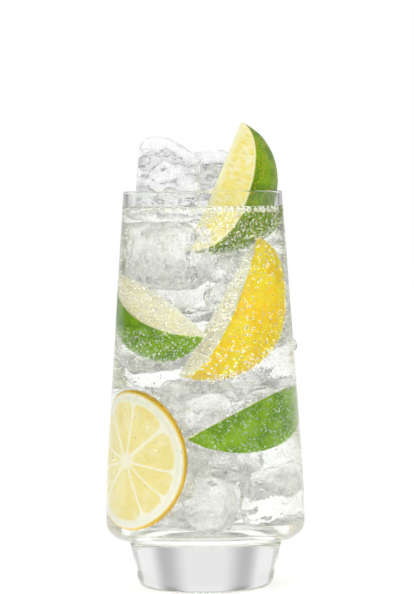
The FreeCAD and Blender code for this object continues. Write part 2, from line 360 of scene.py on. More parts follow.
def support(points):
    """Adds points close to both ends of each long straight stretch.

    Smooth shading blends directions along a face. A long face next to a tight curve would be shaded
    as if it were bent all along, and clear things would then bend light wrongly.
    """
    supported = [points[0]]
    for start, stop in zip(points, points[1:]):
        along = stop - start
        if along.length > LONG_STRETCH:
            near = along.normalized() * NEXT_TO_CURVE
            middles = [start.lerp(stop, step / 4) for step in (1, 2, 3)]
            supported += [start + near, *middles, stop - near]
        supported.append(stop)
    return supported


# %% [markdown]
# The inside of the glass is one outline of its own. Everything in the drink has to know how wide the
# glass is at its height, so we keep that outline as a table and read it between its points.

# %% Measure the inside of the wall
def inner_corners(outward=0.0):
    """The corners of the inside of the glass, from the floor's middle up to the rim."""
    belly = BELLY_RADIUS - BELLY_WALL + outward
    rim = RIM_RADIUS - RIM_WALL + outward
    low = FLOOR_HEIGHT - outward
    return [
        (0, low, 0),
        (belly, low, FLOOR_ROUND),
        (belly, wall_corner(belly, rim), WALL_CURVE),
        (rim, GLASS_HEIGHT, 0),
    ]


inner_wall = np.array([tuple(p) for p in round_corners(inner_corners())])


def wall_radius(height):
    """How far the inside of the wall is from the axis at a height, in millimetres."""
    return float(np.interp(height, inner_wall[1:, 1], inner_wall[1:, 0]))


print("%.1f mm wide inside at the level" % (2 * wall_radius(DRINK_LEVEL)))

# %% [markdown]
# Blender's Spin and Screw tools can turn an outline. Building the rings ourselves keeps the two ends as
# single points on the axis, so that the mesh closes without a pinched ring. Every piece of the drink
# then goes through one helper, which gives it its finish and its ties to the solid model.

# %% A lathe for turned pieces
TURNS = 192


def add_piece(name, mesh, material, slot, *nodes):
    """Puts a mesh in the scene as a piece of the drink, smooth, with its finish and its ties."""
    mesh.shade_smooth()
    mesh.materials.clear()
    mesh.materials.append(material)
    piece = bpy.data.objects.new(name, mesh)
    bpy.context.scene.collection.objects.link(piece)
    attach(piece, "root")
    if nodes:
        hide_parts(*nodes)
    print("%-22s %7d faces" % (name, len(mesh.polygons)))
    return piece


def turn_outline(name, outline, turns=TURNS):
    """Turns an outline, whose two ends are on the axis, into a closed mesh in metres."""
    vertices = [(0, 0, outline[0][1]), (0, 0, outline[-1][1])]
    rings = []
    for radius, height in outline[1:-1]:
        ring = range(len(vertices), len(vertices) + turns)
        rings.append(ring)
        for step in range(turns):
            angle = math.tau * step / turns
            vertices.append((radius * math.cos(angle), radius * math.sin(angle), height))
    faces = []
    for step in range(turns):
        ahead = (step + 1) % turns
        faces.append((0, rings[0][ahead], rings[0][step]))
        faces.append((1, rings[-1][step], rings[-1][ahead]))
        for low, high in zip(rings, rings[1:]):
            faces.append((low[step], low[ahead], high[ahead], high[step]))
    mesh = bpy.data.meshes.new(name)
    mesh.from_pydata([Vector(v) * MM for v in vertices], [], faces)
    return mesh


# %% [markdown]
# The foot is solid glass with a shallow hollow under it, the punt, so that it stands on a ring. The
# rim is fire polished to a soft round. Such glass is clear face-on and grey-green edge-on, where one
# looks along the wall. A volume that absorbs light would show it too, at the cost of noise. Layer
# Weight lays the tint where the surface turns away, which is where it is seen. That tint is partly the
# glass's own grey-green and partly painted shade, the dark outline a glass shows at its edges.

# %% Turn the glass
PUNT_STEPS = 8
GLASS_CLEAR = (0.985, 0.992, 0.988, 1)
# the glass's own grey-green tint, darkened further as painted shade
GLASS_EDGE_TINT_AND_SHADE = (0.74, 0.76, 0.70, 1)
GLASS_EDGE_FROM, GLASS_EDGE_TO = 0.45, 0.95


def glass_outline():
    dome = (PUNT_RADIUS**2 + PUNT_DEPTH**2) / (2 * PUNT_DEPTH)
    punt = []
    for step in range(PUNT_STEPS + 1):
        radius = PUNT_RADIUS * step / PUNT_STEPS
        punt.append((radius, PUNT_DEPTH - dome + math.sqrt(dome**2 - radius**2), 0))
    outside = [
        (FOOT_BASE_RADIUS, 0, FOOT_ROUND),
        (FOOT_TOP_RADIUS, FOOT_HEIGHT, FOOT_JOIN_ROUND),
        (BELLY_RADIUS, FOOT_HEIGHT, HEEL_ROUND),
        (BELLY_RADIUS, wall_corner(BELLY_RADIUS, RIM_RADIUS), WALL_CURVE),
        (RIM_RADIUS, GLASS_HEIGHT, RIM_ROUND),
    ]
    inside = inner_corners()[::-1]
    inside[0] = inside[0][:2] + (RIM_ROUND,)
    return support(round_corners(punt + outside + inside))


clear_glass = Finish("clear_glass", Roughness=0.0, IOR=1.5)
grazing = clear_glass.add("LayerWeight", {"Blend": 0.5}, out=1)
edge_on = clear_glass.spread(grazing, GLASS_EDGE_FROM, GLASS_EDGE_TO)
# painted shade as well as the glass's own tint: darker grey-green where the surface turns from the view
edge_tint_and_shade = clear_glass.mix(edge_on, GLASS_CLEAR, GLASS_EDGE_TINT_AND_SHADE)
clear_glass.set("Base Color", edge_tint_and_shade)
clear_glass.set("Transmission Weight", 1.0)
clear_glass.set("Specular Tint", (0.3, 0.3, 0.3, 1))
turned_glass = turn_outline("turned_glass", glass_outline())
add_piece("turned_glass", turned_glass, clear_glass.material, "glass", "glass")

# %% [markdown]
# ## The drink
#
# The liquid is clear. Its sides reach a hair into the wall, because a sliver of air between two clear
# things would flash like a mirror. At the wall its surface climbs a little, as water does, and elsewhere
# it is flat. Glass and drink lie in one another at the wall, and each would mirror as if it met air, so
# what the drink mirrors face-on is tinted away to nothing, and what the glass mirrors to a third.

# %% Pour the drink
INTO_WALL = 0.2
CLIMB = 0.9
CLIMB_REACH = 1.4
CLIMB_STEPS = 24
CLIMB_SPREAD = 12
LIP = 0.1


def drink_outline():
    sides = [p for p in round_corners(inner_corners(INTO_WALL)) if p[1] < DRINK_LEVEL - 1]
    edge = wall_radius(DRINK_LEVEL)
    top = DRINK_LEVEL + CLIMB
    sides.append(Vector((wall_radius(top - LIP) + INTO_WALL, top - LIP)))
    surface = [Vector((edge + INTO_WALL - LIP, top))]
    for step in range(CLIMB_STEPS + 1):
        inward = CLIMB_SPREAD * (step / CLIMB_STEPS) ** 2
        height = DRINK_LEVEL + CLIMB * math.exp(-inward / CLIMB_REACH)
        surface.append(Vector((edge - inward, height)))
    surface.append(Vector((edge * 0.3, DRINK_LEVEL)))
    surface.append(Vector((0, DRINK_LEVEL)))
    return support(sides + surface)


clear_drink = Finish("clear_drink", Roughness=0.0, IOR=1.333)
clear_drink.set("Base Color", (1.0, 0.998, 0.984, 1))
clear_drink.set("Transmission Weight", 1.0)
clear_drink.set("Specular Tint", (0.0, 0.0, 0.0, 1))
poured_drink = turn_outline("poured_drink", drink_outline())
add_piece("poured_drink", poured_drink, clear_drink.material, "drink", "drink")

# %% [markdown]
# ## Citrus
#
# A fruit is a solid with layers: a thin coloured skin, white pith, and flesh in segments. If the finish
# knows where in the whole fruit each spot lies, then any cut shows the right layers by itself. So every
# piece of fruit keeps, at each vertex, its place in the uncut fruit in millimetres, and one recipe paints
# skin, pith and flesh by how deep that place lies.


# %% A recipe for citrus
SKIN_END = (0.35, 0.9)
ZEST_END = (0.7, 1.5)
SAC_SQUASH = 0.22
SAC_STRETCH = (1.0, 0.75, 11.0)
SEGMENT_GAP = (0.2, 0.8)
SEGMENT_END = 3.2
CORE_EDGE = (2.0, 3.4)
MEMBRANE_EDGE = (2.6, 6.4)
CITRUS_RELIEF = 0.22 * MM
# the segments of the slice sway by a sum of sines of the heading: how often, from where, how far
SWAYS = ((2, 0.6, 0.22), (3, 2.1, 0.16))


def citrus_finish(
    name, half_length, radius, skin, skin_deep, zest, pith, flesh, pith_depth, speck, segments=0
):
    finish = Finish(name, Specular_IOR_Level=0.15)
    place = finish.add("Attribute", {}, out=1, attribute_name="in_fruit")
    x, y, z = finish.split(place)
    square = finish.math("MULTIPLY_ADD", x, x, finish.math("MULTIPLY", y, y))
    out = finish.math("SQRT", square)
    share = finish.math("DIVIDE", z, half_length)
    girth = finish.math("SUBTRACT", 1.0, finish.math("MULTIPLY", share, share))
    girth = finish.math("SQRT", finish.math("MAXIMUM", girth, 0.0))
    depth = finish.math("SUBTRACT", finish.math("MULTIPLY", girth, radius), out)
    # flesh: long juice sacs that point at the core
    heading = finish.math("ARCTAN2", y, x)
    sac_place = finish.add("CombineXYZ", {0: finish.math("MULTIPLY", out, SAC_SQUASH), 1: z, 2: heading})
    stretch = finish.add("VectorMath", {0: sac_place, 1: SAC_STRETCH}, operation="MULTIPLY")
    sacs = finish.noise(stretch, 1.1, 4.0, 0.6)
    cloud = finish.noise(place, 0.16, 2.0)
    sac_tone = finish.spread(sacs, 0.35, 0.65)
    flesh_tone = finish.mix(sac_tone, flesh[0], flesh[1])
    flesh_tone = finish.mix(finish.spread(cloud, 0.4, 0.65, 0.0, 0.7), flesh_tone, flesh[2])
    if segments:
        # no two segments are alike, and the pith reaches in between their rounded ends
        waves = [finish.math("SINE", finish.math("MULTIPLY_ADD", heading, *wave[:2])) for wave in SWAYS]
        sway = finish.math("MULTIPLY", waves[1], SWAYS[1][2])
        sway = finish.math("MULTIPLY_ADD", waves[0], SWAYS[0][2], sway)
        turns = finish.math("MULTIPLY_ADD", heading, segments / math.tau, sway)
        part = finish.math("PINGPONG", turns, 0.5)
        gap = finish.math("MULTIPLY", finish.math("MULTIPLY", part, math.tau / segments), out)
        end = finish.spread(depth, pith_depth, pith_depth + SEGMENT_END, 1.5, 0.0)
        gap = finish.math("SUBTRACT", gap, finish.math("MULTIPLY", end, end))
        wall = finish.spread(gap, *SEGMENT_GAP, 1.0, 0.0)
        core = finish.spread(out, *CORE_EDGE, 1.0, 0.0)
        flesh_tone = finish.mix(finish.math("MAXIMUM", wall, core), flesh_tone, pith)
    # a ragged white membrane runs along the core
    membrane = finish.math("MULTIPLY_ADD", cloud, 3.0, out)
    membrane = finish.spread(membrane, *MEMBRANE_EDGE, 0.75, 0.0)
    flesh_tone = finish.mix(membrane, flesh_tone, pith)
    wander = finish.math("MULTIPLY_ADD", finish.noise(place, 0.25, 2.0), 1.4, -0.7)
    edge = finish.math("ADD", depth, wander)
    inner = finish.mix(finish.spread(edge, pith_depth - 0.5, pith_depth + 0.4), pith, flesh_tone)
    # skin: two tones, with the paler dots of its oil glands
    blotch = finish.spread(finish.noise(place, 0.13, 3.0), 0.38, 0.62)
    skin_tone = finish.mix(blotch, skin, skin_deep)
    glands = finish.add("TexVoronoi", {"Vector": place, "Scale": 0.95, "Randomness": 0.9})
    dots = finish.spread(glands, 0.14, 0.36, 0.85, 0.0)
    skin_tone = finish.mix(dots, skin_tone, speck)
    outer = finish.mix(finish.spread(depth, *SKIN_END), skin_tone, zest)
    colour = finish.mix(finish.spread(depth, *ZEST_END), outer, inner)
    finish.set("Base Color", colour)
    finish.set("Roughness", finish.spread(depth, 0.4, 2.0, 0.32, 0.22))
    pores = finish.spread(glands, 0.0, 0.45)
    on_skin = finish.spread(depth, 0.3, 0.7, 1.0, 0.0)
    relief = finish.mix(on_skin, sacs, pores)
    finish.set("Normal", finish.bump(relief, CITRUS_RELIEF, 0.6))
    return finish.material


print("citrus recipe: skin ends %.1f mm deep, zest %.1f mm deep" % (SKIN_END[1], ZEST_END[1]))

# %% [markdown]
# Above the drink the lime is deep green with tan specks. In the drink the same fruit looks lighter and
# its flesh paler, since light comes at it from all sides, so its copy there has that light painted in as
# lighter tones. Lemon differs in colour and in how thick its pith is. The slice is cut across the
# segments, so it alone shows them.

# %% Four citrus finishes
LIME_HALF, LIME_RADIUS = 27.8, 24.8
SLICE_RADIUS = 27.6
SLICE_SEGMENTS = 9
# a slice has the same girth all through, as if it came from an endless fruit
SLICE_HALF = 1000.0

lime_finish = citrus_finish(
    "lime",
    LIME_HALF,
    LIME_RADIUS,
    skin=(0.19, 0.34, 0.002, 1),
    skin_deep=(0.09, 0.20, 0.001, 1),
    zest=(0.52, 0.46, 0.03, 1),
    pith=(0.93, 0.92, 0.66, 1),
    flesh=[(0.87, 0.75, 0.20, 1), (0.94, 0.91, 0.62, 1), (0.90, 0.76, 0.14, 1)],
    pith_depth=1.9,
    speck=(0.66, 0.40, 0.03, 1),
)
# painted light: the lime under the level is a copy painted lighter and paler, for the light that reaches
# it in the drink
lime_painted_lighter_finish = citrus_finish(
    "lime_painted_lighter",
    LIME_HALF,
    LIME_RADIUS,
    skin=(0.23, 0.44, 0.003, 1),
    skin_deep=(0.12, 0.28, 0.002, 1),
    zest=(0.50, 0.66, 0.06, 1),
    pith=(0.97, 0.96, 0.80, 1),
    flesh=[(0.96, 0.92, 0.66, 1), (0.97, 0.95, 0.80, 1), (0.96, 0.89, 0.52, 1)],
    pith_depth=1.9,
    speck=(0.36, 0.58, 0.04, 1),
)
lemon_finish = citrus_finish(
    "lemon",
    LIME_HALF,
    LIME_RADIUS,
    skin=(0.98, 0.80, 0.020, 1),
    skin_deep=(0.98, 0.68, 0.010, 1),
    zest=(0.98, 0.86, 0.12, 1),
    pith=(0.98, 0.96, 0.84, 1),
    flesh=[(0.97, 0.94, 0.70, 1), (0.97, 0.95, 0.80, 1), (0.96, 0.90, 0.52, 1)],
    pith_depth=3.0,
    speck=(0.98, 0.60, 0.02, 1),
)
slice_finish = citrus_finish(
    "lemon_slice",
    SLICE_HALF,
    SLICE_RADIUS,
    skin=(0.95, 0.62, 0.03, 1),
    skin_deep=(0.90, 0.52, 0.02, 1),
    zest=(0.98, 0.72, 0.12, 1),
    pith=(0.98, 0.97, 0.88, 1),
    flesh=[(0.92, 0.83, 0.38, 1), (0.96, 0.92, 0.66, 1), (0.90, 0.78, 0.30, 1)],
    pith_depth=4.4,
    speck=(0.90, 0.48, 0.02, 1),
    segments=SLICE_SEGMENTS,
)
print("citrus finishes:", lime_finish.name, lemon_finish.name, slice_finish.name)

# %% [markdown]
# ## Wedges
#
# A wedge is a sector of a fruit, cut along the core. We build the sector from rings, let a voxel remesh
# turn it into one even skin, which also softens the knife-sharp edges, and then raise the flesh in small
# swellings, because juice sacs stand proud of a fresh cut.

# %% An even skin over a mesh
VOXEL = 0.5


def remesh(mesh, voxel, smooth):
    """An even skin over a closed mesh, smoothed a little so that its edges are not sharp."""
    holder = bpy.data.objects.new("holder", mesh)
    bpy.context.scene.collection.objects.link(holder)
    even = holder.modifiers.new("even", "REMESH")
    even.mode = "VOXEL"
    even.voxel_size = voxel
    soft = holder.modifiers.new("soft", "SMOOTH")
    soft.factor = 0.5
    soft.iterations = smooth
    done = holder.evaluated_get(bpy.context.evaluated_depsgraph_get())
    result = bpy.data.meshes.new_from_object(done)
    bpy.data.objects.remove(holder)
    return result


print("skins are remeshed to %.1f mm" % VOXEL)


# %% Shape a wedge
def wedge_mesh(name, half_length, radius, sector):
    """A sector of a fruit about Z, in millimetres, its skin centred on +X."""
    lengths, across, cut = 44, 18, 12
    section = [(0.0, 0.0)]
    section += [(step / cut, -sector / 2) for step in range(1, cut + 1)]
    section += [(1.0, sector * (step / across - 0.5)) for step in range(1, across)]
    section += [(step / cut, sector / 2) for step in range(cut, 0, -1)]
    vertices = [(0, 0, -half_length), (0, 0, half_length)]
    rings = []
    for step in range(1, lengths):
        angle = math.pi * step / lengths
        girth = radius * math.sin(angle)
        height = -half_length * math.cos(angle)
        rings.append(range(len(vertices), len(vertices) + len(section)))
        for share, heading in section:
            reach = share * girth
            vertices.append((reach * math.cos(heading), reach * math.sin(heading), height))
    faces = []
    count = len(section)
    for i in range(count):
        ahead = (i + 1) % count
        faces.append((0, rings[0][ahead], rings[0][i]))
        faces.append((1, rings[-1][i], rings[-1][ahead]))
        for low, high in zip(rings, rings[1:]):
            faces.append((low[i], low[ahead], high[ahead], high[i]))
    mesh = bpy.data.meshes.new(name)
    mesh.from_pydata(vertices, [], faces)
    return remesh(mesh, VOXEL, 3)


# %% [markdown]
# A displacement modifier could swell the flesh, and it would have to be told what is flesh. Moving the
# vertices in Python is plainer: each one knows its place in the fruit, so we can raise those on the cut
# faces by noise and leave the skin almost smooth. The same places are kept for the finish.

# %% Swell the flesh
SKIN_DEPTH = 1.2
FLESH_FADE = 2.0
CORE_FADE = 3.0


def read_skin(mesh):
    """The places and the outward directions of all vertices, as two arrays."""
    places = np.empty(len(mesh.vertices) * 3)
    outward = np.empty(len(mesh.vertices) * 3)
    mesh.vertices.foreach_get("co", places)
    mesh.vertices.foreach_get("normal", outward)
    return places.reshape(-1, 3), outward.reshape(-1, 3)


def write_places(mesh, places):
    mesh.vertices.foreach_set("co", np.asarray(places, dtype=float).ravel())
    mesh.update()


def keep_fruit_place(mesh, scale=(1, 1, 1)):
    """Stores each vertex's place in the whole fruit, before the piece is bent or moved."""
    places, outward = read_skin(mesh)
    kept = (places * scale).ravel()
    mesh.attributes.new("in_fruit", "FLOAT_VECTOR", "POINT").data.foreach_set("vector", kept)
    return places, outward


def swell_wedge(mesh, half_length, radius, seed):
    """Raises the flesh of the cut faces in small swellings and gives the skin a slight waviness."""
    across = LIME_RADIUS / radius
    places, outward = keep_fruit_place(mesh, (across, across, LIME_HALF / half_length))
    shift = Vector((seed * 13.7, seed * 5.1, seed * 9.3))
    rise = []
    for x, y, z in places.tolist():
        out = math.hypot(x, y)
        girth = radius * math.sqrt(max(0.0, 1 - (z / half_length) ** 2))
        depth = girth - out
        if depth > SKIN_DEPTH:
            fade = min(1.0, (depth - SKIN_DEPTH) / FLESH_FADE) * min(1.0, out / CORE_FADE)
            sac = noise.noise(Vector((out * 0.25, z * 0.8, y * 0.3)) + shift)
            rise.append(fade * (0.25 * sac - 0.15))
        else:
            rise.append(0.14 * (noise.noise(Vector((x, y, z)) * 0.3 + shift) - 0.6))
    write_places(mesh, places + outward * np.array(rise)[:, None])


# %% [markdown]
# Each wedge leans its own way. Three Euler angles would say so, but nobody can read them. Naming where
# the core runs and where the skin faces, as compass headings seen from above, is easy to judge by eye
# and to change. The first wedge stands where the solid model has it and takes that solid's place.

# %% Cut the wedges
def wedge_stand(middle, core, skin):
    """Where a wedge stands: its middle, which way its core runs, and which way its skin faces."""
    core = Vector(core).normalized()
    skin = Vector(skin)
    skin = (skin - core * skin.dot(core)).normalized()
    stand = Matrix((skin, core.cross(skin), core)).transposed().to_4x4()
    return Matrix.Translation(Vector(middle) * MM) @ stand @ Matrix.Diagonal((MM, MM, MM, 1))


def heading(aside, upward):
    """A direction: degrees to the right of the front, and degrees above the level."""
    aside, upward = math.radians(aside), math.radians(upward)
    return (math.sin(aside) * math.cos(upward), -math.cos(aside) * math.cos(upward), math.sin(upward))


WEDGES = [
    # name, fruit's half length and radius, sector, finish, middle, the core's run, the skin's face
    ("lime_wedge_top", 27.8, 24.8, 64, lime_finish, (4.9, -0.9, 159.8), (90, 67.4), (64, -20.6)),
    ("lemon_wedge", 30.5, 25.5, 66, lemon_finish, (4.4, -4.4, 112.0), (90, 66), (48, -14)),
    ("lime_wedge_left", 25.5, 23.0, 68, lime_painted_lighter_finish, (-10.4, -5.8, 113.0), (-150, 27), (-60, -42)),
    ("lime_wedge_right", 27.2, 23.4, 54, lime_painted_lighter_finish, (8.8, -6.4, 68.0), (143, 15), (53, -2)),
]

skins = {}
for seed, (name, half_length, radius, sector, finish, middle, core, skin) in enumerate(WEDGES):
    mesh = wedge_mesh(name, half_length, radius, math.radians(sector))
    swell_wedge(mesh, half_length, radius, seed)
    mesh.transform(wedge_stand(middle, heading(*core), heading(*skin)))
    nodes = ["lime_wedge"] if name == "lime_wedge_top" else []
    skins[name] = add_piece(name, mesh, finish, "lime", *nodes)

# %% [markdown]
# ## The slice of lemon
#
# A thin slice bends. This one clings to the wall of the glass, so we shape it flat, with its segments
# slightly swollen between their skins, and then wrap it round the wall like a label.

# %% Cut a flat slice
SLICE_THICK = 5.0
SLICE_EDGE_ROUND = 1.2
SLICE_TURNS = 120


def slice_mesh():
    """A flat slice about Z with rounded edges, in millimetres."""
    outline = round_corners(
        [
            (0, -SLICE_THICK / 2, 0),
            (SLICE_RADIUS, -SLICE_THICK / 2, SLICE_EDGE_ROUND),
            (SLICE_RADIUS, SLICE_THICK / 2, SLICE_EDGE_ROUND),
            (0, SLICE_THICK / 2, 0),
        ]
    )
    mesh = turn_outline("lemon_slice", outline, SLICE_TURNS)
    mesh.transform(Matrix.Diagonal((1 / MM, 1 / MM, 1 / MM, 1)))
    return remesh(mesh, VOXEL, 2)


def swell_slice(mesh):
    places, _ = keep_fruit_place(mesh)
    for spot in places:
        x, y, z = spot
        out = math.hypot(x, y)
        heading = math.atan2(y, x)
        sway = sum(far * math.sin(times * heading + start) for times, start, far in SWAYS)
        share = (heading * SLICE_SEGMENTS / math.tau + sway) % 1.0
        gap = min(share, 1 - share) * math.tau / SLICE_SEGMENTS * out
        inside = max(0.0, min(1.0, (SLICE_RADIUS - 4.6 - out) / 2.5)) * min(1.0, gap / 1.6)
        sac = noise.noise(Vector((x, y, z)) * 0.6)
        sunken = 0.35 if out < SLICE_RADIUS - 3 else 0
        spot[2] += math.copysign(inside * (0.35 + 0.25 * sac) - sunken, z)
    write_places(mesh, places)


print("slice %.0f mm across, %.0f mm thick" % (2 * SLICE_RADIUS, SLICE_THICK))

# %% [markdown]
# A bend modifier bends round a cylinder, but this wall tapers. So each vertex is moved by itself: how
# far it is along the slice becomes an angle round the axis, and its place in the thickness becomes a
# distance from the wall at that height.

# %% Wrap it round the wall
SLICE_HEIGHT = 52.2
SLICE_HEADING = math.radians(-55)
SLICE_GAP = 0.4


def wrap(mesh):
    """Bends a flat slice round the inside of the wall. Its own Z becomes the way out to the wall."""
    wrapped = []
    for along, up, out in read_skin(mesh)[0].tolist():
        height = SLICE_HEIGHT + up
        reach = wall_radius(height) - SLICE_GAP - SLICE_THICK / 2 + out
        heading = SLICE_HEADING + along / (wall_radius(SLICE_HEIGHT) - SLICE_GAP)
        wrapped.append((reach * math.sin(heading) * MM, -reach * math.cos(heading) * MM, height * MM))
    write_places(mesh, wrapped)


lemon_slice = slice_mesh()
swell_slice(lemon_slice)
wrap(lemon_slice)
skins["lemon_slice"] = add_piece("lemon_slice", lemon_slice, slice_finish, "lime")

# %% [markdown]
# ## Ice
#
# Moulded ice melts to soft blocks, clear in places and cloudy where air was trapped. Clear ice bends
# light, and cloudy ice scatters it, so noise mixes the two: where it is high the finish lets less light
# through and is rougher. Thin frosted cracks follow the borders of warped cells. The edges, where one
# looks along the skin, are painted a touch greyer: painted shade for the dark rims that bent light
# draws there.


# %% A finish for ice
# noise and cells are given by how many there are to a metre
CLOUDS = 95.0
STREAKS = 210.0
CELLS = 95.0
FACETS = 210.0
WAVES = 110.0
CELL_BEND = 6.0 * MM
CRACK_WIDTH = 0.045


def ice_finish(name, ior, clearest, cloudiest, relief, frost_and_shade_tone, edge_shade):
    finish = Finish(name, IOR=ior)
    place = finish.add("TexCoord", {}, out=3)
    cloud = finish.noise(place, CLOUDS, 5.0, 0.62)
    warp = finish.add("VectorMath", {0: place, 1: (1.0, 1.6, 0.7)}, operation="MULTIPLY")
    streak = finish.noise(warp, STREAKS, 3.0, 0.7)
    frost = finish.math("MULTIPLY", finish.spread(cloud, 0.42, 0.62), finish.spread(streak, 0.32, 0.6))
    bend = finish.add("TexNoise", {"Vector": place, "Scale": 120.0, "Detail": 3.0}, out=1)
    shifted = {0: bend, 1: (CELL_BEND, CELL_BEND, CELL_BEND), 2: place}
    bent = finish.add("VectorMath", shifted, operation="MULTIPLY_ADD")
    cells = {"Vector": bent, "Scale": CELLS, "Randomness": 1.0}
    crack = finish.add("TexVoronoi", cells, feature="DISTANCE_TO_EDGE")
    crack = finish.spread(crack, 0.0, CRACK_WIDTH, 0.85, 0.0)
    crack = finish.math("MULTIPLY", crack, finish.spread(cloud, 0.40, 0.60))
    frost = finish.math("MAXIMUM", frost, crack)
    # the frost's own colour; for the ice above the level it is greyer, as painted shade
    colour = finish.mix(finish.spread(frost, 0.0, 0.3), (1, 1, 1, 1), frost_and_shade_tone)
    # painted shade: the colour greys where the surface turns away from the view
    grazing = finish.add("LayerWeight", {"Blend": 0.5}, out=1)
    colour = finish.mix(finish.spread(grazing, 0.5, 1.0), colour, edge_shade)
    finish.set("Base Color", colour)
    finish.set("Transmission Weight", finish.spread(frost, 0.0, 0.9, clearest, cloudiest))
    finish.set("Roughness", finish.spread(frost, 0.0, 1.0, 0.01, 0.3))
    facets = finish.add("TexVoronoi", {"Vector": bent, "Scale": FACETS}, feature="SMOOTH_F1")
    wave = finish.math("ADD", finish.noise(place, WAVES, 4.0, 0.5), finish.math("MULTIPLY", facets, 0.5))
    finish.set("Normal", finish.bump(wave, relief, 0.5))
    return finish.material


# painted shade: the ice above the level has greyer frost and edges than the sunk ice
dry_ice_finish = ice_finish(
    "ice_above",
    ior=1.31,
    clearest=0.97,
    cloudiest=0.55,
    relief=2.6 * MM,
    frost_and_shade_tone=(0.88, 0.89, 0.90, 1),
    edge_shade=(0.84, 0.85, 0.86, 1),
)
# water and ice bend light almost alike, so a true value would hide the blocks; this one shows them
sunk_ice_finish = ice_finish(
    "ice_sunk",
    ior=1.12,
    clearest=1.0,
    cloudiest=0.60,
    relief=7.0 * MM,
    frost_and_shade_tone=(0.97, 0.975, 0.97, 1),
    edge_shade=(0.93, 0.93, 0.925, 1),
)
print("ice finishes:", dry_ice_finish.name, sunk_ice_finish.name)

# %% [markdown]
# Two blocks stand out of the drink, and the solid model has them as plain blocks. We take those very
# solids, give them an even skin, and push it in and out in slow waves, as melting does. Each is then cut
# just under the level. Light bends strongly where it passes from air into ice, and hardly where it
# passes from water into ice, so the part above and the part below get finishes of their own. The part
# above is also painted greyer, as shade.

# %% Melt the two blocks that stand out
ICE_VOXEL = 0.6
# the two cuts lie a hair apart: light is caught between faces that lie in one another
DRY_CUT = DRINK_LEVEL - 0.3
WET_CUT = DRINK_LEVEL - 0.55


def cut_level(mesh, height, keep_above):
    """Cuts a closed mesh level at a height, keeps one side, and closes it flat."""
    work = bmesh.new()
    work.from_mesh(mesh)
    parts = work.verts[:] + work.edges[:] + work.faces[:]
    cut = bmesh.ops.bisect_plane(
        work,
        geom=parts,
        plane_co=(0, 0, height),
        plane_no=(0, 0, 1),
        clear_inner=keep_above,
        clear_outer=not keep_above,
    )
    rim = [part for part in cut["geom_cut"] if isinstance(part, bmesh.types.BMEdge)]
    bmesh.ops.edgenet_fill(work, edges=rim)
    bmesh.ops.triangulate(work, faces=[face for face in work.faces if len(face.verts) > 4])
    bmesh.ops.recalc_face_normals(work, faces=work.faces)
    result = mesh.copy()
    work.to_mesh(result)
    work.free()
    return result


def melt(name, node):
    """Makes the dry and the wet part of a block from the solid of a node."""
    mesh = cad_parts[node].data.copy()
    mesh.transform(Matrix.Diagonal((1 / MM, 1 / MM, 1 / MM, 1)))
    mesh = remesh(mesh, ICE_VOXEL, 6)
    places, outward = read_skin(mesh)
    spots = [Vector(p) for p in places.tolist()]
    wave = [noise.noise(p * 0.11) + 0.35 * noise.noise(p * 0.33) for p in spots]
    write_places(mesh, places + outward * (0.9 * np.array(wave)[:, None] - 0.8))
    parts = (("dry", dry_ice_finish, DRY_CUT, True), ("wet", sunk_ice_finish, WET_CUT, False))
    for part, finish, level, keep_above in parts:
        cut = cut_level(mesh, level, keep_above)
        cut.transform(Matrix.Diagonal((MM, MM, MM, 1)))
        piece = add_piece(name + "_" + part, cut, finish, "ice", node)
        # the cut is shaded flat, because a smooth rim would bend the light as a bulge does
        for face in piece.data.polygons:
            if abs(face.center.z - level * MM) < 1e-5:
                face.use_smooth = False


melt("ice_block_left", "ice_left")
melt("ice_block_back", "ice_back")

# %% [markdown]
# Under the level the glass is full of ice. A box whose corners are pulled to a radius gives a block, and
# a slow wave over its faces gives the melt. A bevelled cube would do as well, with uneven faces that show
# in clear ice.

# %% Shape a block of ice
ICE_CUTS = 26


def ice_mesh(name, sides, rounding, seed):
    """A melted block about the origin, in millimetres."""
    mesh = bpy.data.meshes.new(name)
    half = Vector(sides) / 2
    vertices, faces = [], []
    for axis in range(3):
        for side in (-1, 1):
            base = len(vertices)
            for i in range(ICE_CUTS + 1):
                for j in range(ICE_CUTS + 1):
                    spot = [0, 0, 0]
                    spot[axis] = side
                    spot[(axis + 1) % 3] = 2 * i / ICE_CUTS - 1
                    spot[(axis + 2) % 3] = 2 * j / ICE_CUTS - 1
                    vertices.append(tuple(s * h for s, h in zip(spot, half)))
            for i in range(ICE_CUTS):
                for j in range(ICE_CUTS):
                    a = base + i * (ICE_CUTS + 1) + j
                    quad = (a, a + ICE_CUTS + 1, a + ICE_CUTS + 2, a + 1)
                    faces.append(quad if side > 0 else quad[::-1])
    mesh.from_pydata(vertices, [], faces)
    return round_block(mesh, half, rounding, seed)


def round_block(mesh, half, rounding, seed):
    work = bmesh.new()
    work.from_mesh(mesh)
    bmesh.ops.remove_doubles(work, verts=work.verts, dist=1e-4)
    shift = Vector((seed * 7.3, seed * 3.9, seed * 11.1))
    for vertex in work.verts:
        core = Vector([max(-h + rounding, min(h - rounding, c)) for c, h in zip(vertex.co, half)])
        out = (vertex.co - core).normalized()
        spot = core + out * rounding
        wave = noise.noise(spot * 0.10 + shift) + 0.4 * noise.noise(spot * 0.28 + shift)
        vertex.co = spot + out * (1.6 * wave - 0.3)
    work.to_mesh(mesh)
    work.free()
    return mesh


print("a block of ice has %d faces" % (6 * ICE_CUTS**2))

# %% [markdown]
# Real blocks tumble in and jam. A physics run would do that, and it would also push the fruit about,
# which has its place. So the blocks are laid in layers of four round one, each turned a little by
# chance, and none starts too near the fruit. Where one would pass through the wall it is melted back.

# %% Drop ice into the drink
ICE_OFF_FLOOR = 0.6
ICE_UNDER_LEVEL = 1.5
ICE_OFF_WALL = 0.5


